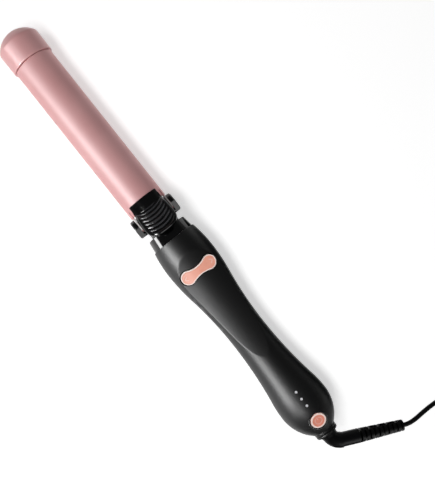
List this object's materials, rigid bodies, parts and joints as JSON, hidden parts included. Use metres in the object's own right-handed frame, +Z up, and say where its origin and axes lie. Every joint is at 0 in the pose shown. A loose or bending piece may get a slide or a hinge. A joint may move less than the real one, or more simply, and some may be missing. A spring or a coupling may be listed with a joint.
{
  "type": "rotating curling iron",
  "caption": "Hand-held curling iron: powered rotating barrel with a spring clamp and thumb lever, waisted handle with a rocker switch and power button, swivel cord.",
  "frame": {"origin": "on the floor under the middle of the iron's length, tip to gland, on its centre plane", "axes": "+X runs from the barrel's tip to the cord along the barrel's axis, +Z is up out of the side with the clamp lever and buttons, +Y is across"},
  "size_m": [0.5057, 0.1561, 0.0444],
  "materials": {
    "pink_barrel": "anodised, satin",
    "pink_cap": "metallic paint",
    "black_satin": "moulded, satin",
    "black_gloss": "moulded, gloss",
    "rose_gold": "vacuum metallised, satin",
    "black_rubber": "moulded, satin",
    "steel": "machined",
    "brass": "machined",
    "aluminium": "extruded",
    "ceramic": "fired ceramic",
    "natural_plastic": "moulded",
    "dark_plastic": "moulded",
    "green_board": "laminated board",
    "blue_part": "moulded",
    "clear": "clear, polished",
    "carbon": "pressed",
    "wire_red": "insulated wire"
  },
  "bodies": {
    "handle": {"handle_front": "black_satin", "handle_back": "black_satin", "case_screws": "steel", "front_bushing": "brass", "rear_bushing": "brass", "rear_bulkhead": "dark_plastic", "gear_motor": "steel", "gearbox": "brass", "motor_cradle": "dark_plastic", "brush_holder": "dark_plastic", "brushes": "carbon", "switch_board": "green_board", "rocker_contacts": "dark_plastic", "rocker_pin": "steel", "control_board": "green_board", "capacitors": "blue_part", "relay": "blue_part", "lamps": "clear", "light_pipes": "clear", "power_contact": "dark_plastic", "power_bezel": "black_gloss", "wire_harness": "wire_red", "terminal_block": "natural_plastic", "gland_ring": "black_satin"},
    "barrel": {"tip_cap": "pink_cap", "barrel_tube": "pink_barrel", "heat_spreaders": "aluminium", "heater_strip": "ceramic", "thermistor": "blue_part", "thermal_fuse": "steel", "insulator_disc": "natural_plastic", "heater_leads": "natural_plastic", "barrel_base": "black_gloss", "hinge_pins": "steel", "collar_ring": "black_gloss", "drive_shaft": "steel", "drive_gear": "natural_plastic", "ring_drum": "dark_plastic", "slip_rings": "brass", "retaining_ring": "steel", "lever_spring": "steel"},
    "clamp": {"clamp_plate": "pink_barrel", "thumb_lever": "black_gloss", "lever_rivets": "steel"},
    "pinion": {"motor_shaft": "steel", "motor_pinion": "brass"},
    "rocker": {"rocker_switch": "rose_gold"},
    "button": {"power_button": "rose_gold"},
    "cord": {"strain_relief": "black_rubber", "cord_run": "black_rubber", "cord_coil": "black_rubber", "cord_tail": "black_rubber", "coil_tie": "black_rubber", "plug_body": "black_rubber", "plug_blades": "brass"}
  },
  "joints": [
    {"name": "barrel_spin", "type": "hinge", "parent": "handle", "child": "barrel", "pos_m": [0, 0, 0.0192], "axis": [1, 0, 0], "continuous": true},
    {"name": "pinion_spin", "type": "hinge", "parent": "handle", "child": "pinion", "pos_m": [0, 0, 0.0081], "axis": [1, 0, 0], "continuous": true},
    {"name": "clamp_hinge", "type": "hinge", "parent": "barrel", "child": "clamp", "pos_m": [-0.01635, 0, 0.0212], "axis": [0, 1, 0], "range_deg": [0, 12], "stiffness_Nm_per_rad": 0.1, "springref_deg": -28.65, "deforming": ["lever_spring"]},
    {"name": "rocker_tilt", "type": "hinge", "parent": "handle", "child": "rocker", "pos_m": [0.0347, 0, 0.0306], "axis": [0.9735, 0, -0.2289], "range_deg": [-4, 4], "stiffness_Nm_per_rad": 0.5},
    {"name": "power_press", "type": "slide", "parent": "handle", "child": "button", "axis": [-0.342, 0, -0.9397], "range_m": [0, 0.0008], "stiffness_N_per_m": 800, "springref_m": -0.001},
    {"name": "cord_swivel", "type": "hinge", "parent": "handle", "child": "cord", "pos_m": [0.19195, 0, 0.0192], "axis": [1, 0, 0], "continuous": true}
  ],
  "couplings": [
    {"joint": "pinion_spin", "follows": "barrel_spin", "ratio": -2.0833}
  ]
}
